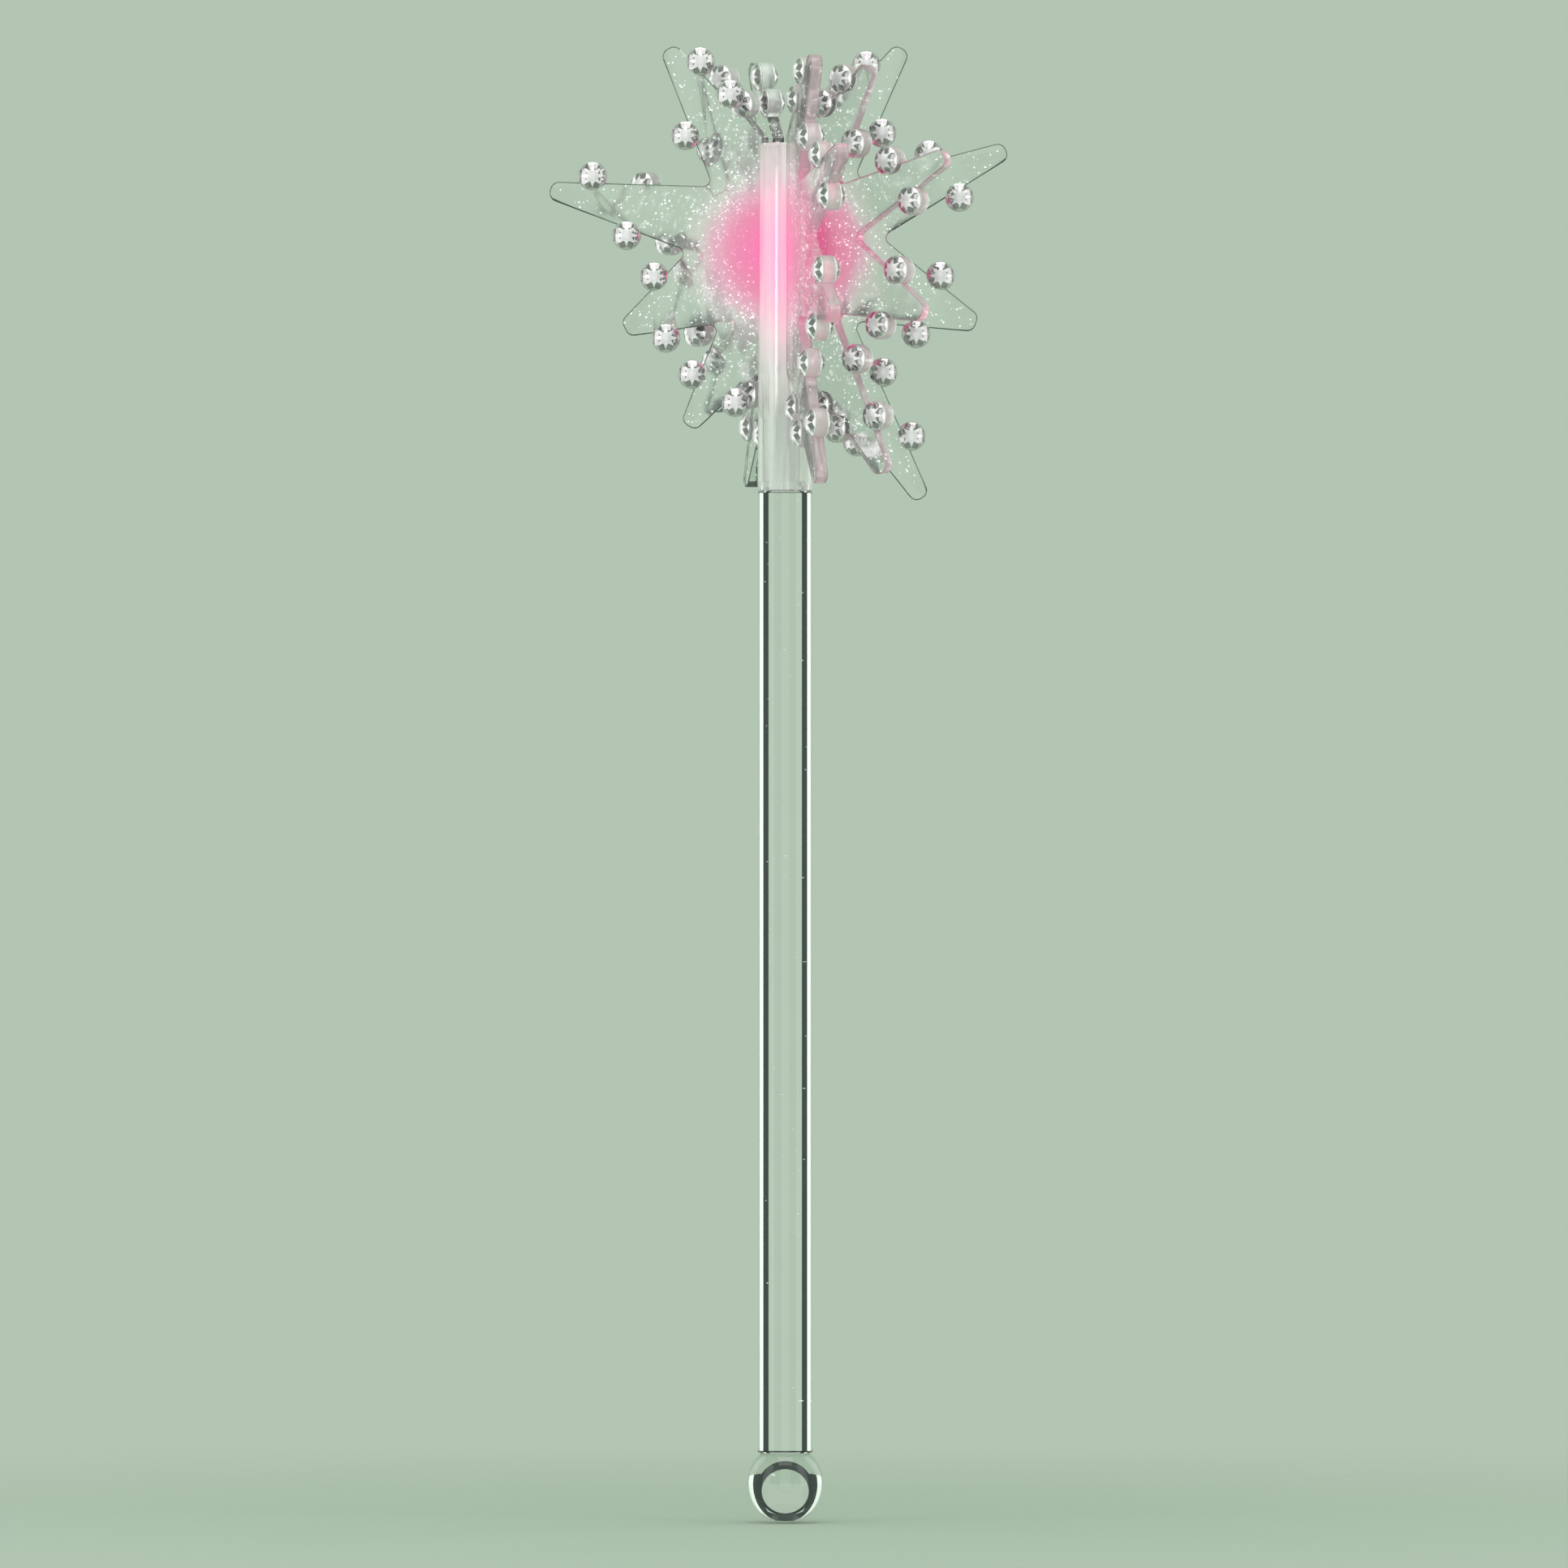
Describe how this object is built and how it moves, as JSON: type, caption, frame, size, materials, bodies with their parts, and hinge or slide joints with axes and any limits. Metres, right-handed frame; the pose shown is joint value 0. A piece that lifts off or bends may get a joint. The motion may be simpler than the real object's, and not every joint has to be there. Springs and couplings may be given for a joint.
{
  "type": "toy magic wand",
  "caption": "Clear toy wand: a solid rod with a ball end, and a star-burst head of glitter fins in a slotted hub with a pink core and faceted stones on edge pads.",
  "frame": {"origin": "centre of the rod's lower end, where the ball is bonded on", "axes": "+Z along the rod towards the star-burst head, +X along the right-hand fin; the pictured side is seen looking along +Y"},
  "size_m": [0.1055, 0.0932, 0.34],
  "materials": {
    "clear_rod": "clear polished acrylic with a few glitter specks",
    "clear_hub": "clear moulded plastic, pink where the core shows",
    "pink_core": "translucent pink plastic",
    "glitter_fin": "clear plastic with fine glitter and a soft pink tint round the hub",
    "silver_stone": "faceted flat-back stone with a silver mirror back"
  },
  "bodies": {
    "root": {"handle_rod": "clear_rod", "pommel_ball": "clear_rod", "hub_tube": "clear_hub", "pink_core": "pink_core", "fin_right": "glitter_fin", "fin_front_right": "glitter_fin", "fin_front": "glitter_fin", "fin_left": "glitter_fin", "fin_back_left": "glitter_fin", "fin_back": "glitter_fin", "stones_right_cw": "silver_stone", "stones_right_ccw": "silver_stone", "stones_front_right_cw": "silver_stone", "stones_front_right_ccw": "silver_stone", "stones_front_cw": "silver_stone", "stones_front_ccw": "silver_stone", "stones_left_cw": "silver_stone", "stones_left_ccw": "silver_stone", "stones_back_left_cw": "silver_stone", "stones_back_left_ccw": "silver_stone", "stones_back_cw": "silver_stone", "stones_back_ccw": "silver_stone"}
  },
  "joints": []
}
